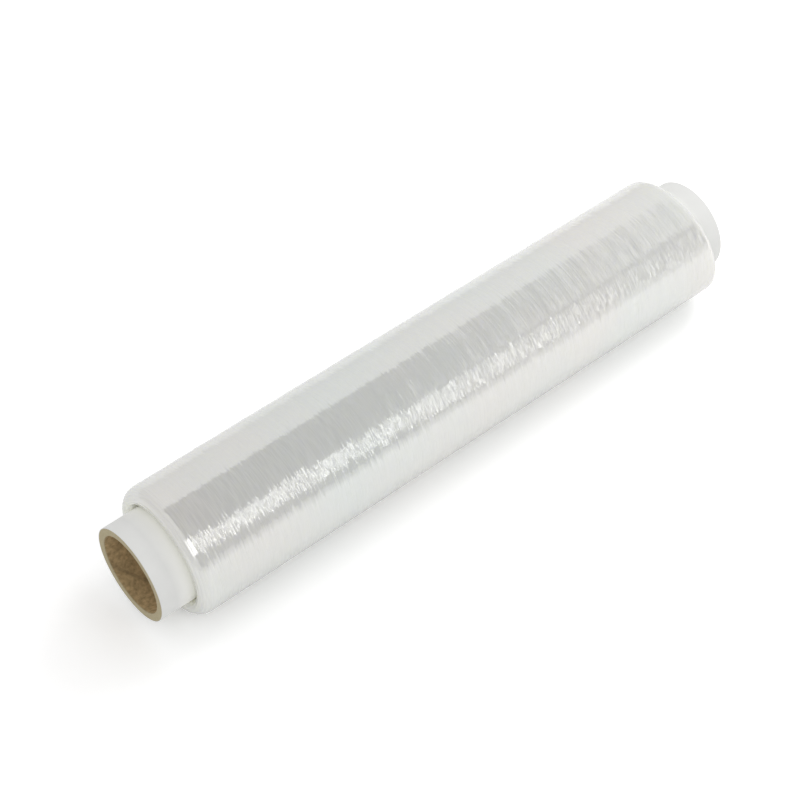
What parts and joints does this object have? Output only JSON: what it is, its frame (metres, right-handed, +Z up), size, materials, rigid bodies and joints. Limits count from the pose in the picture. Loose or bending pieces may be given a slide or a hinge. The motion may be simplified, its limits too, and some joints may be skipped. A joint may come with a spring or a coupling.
{
  "type": "stretch wrap roll",
  "caption": "Hand roll of clear stretch film wound tight on a white-faced paper core whose ends stand out for a hand dispenser.",
  "frame": {"origin": "on the surface that the roll lies on, below the middle of the core", "axes": "+X along the roll's axis, towards the end where less of the core stands out; +Z up from the surface; +Y level, across the roll"},
  "size_m": [0.4408, 0.084, 0.0838],
  "materials": {
    "core_board": "matte, fibrous brown board",
    "white_paper": "smooth, matte white paper",
    "clear_film": "gloss, milky silver where clear turns stack up"
  },
  "bodies": {
    "root": {"core_tube": "core_board", "core_white_ply": "white_paper", "film_roll": "clear_film"}
  },
  "joints": []
}
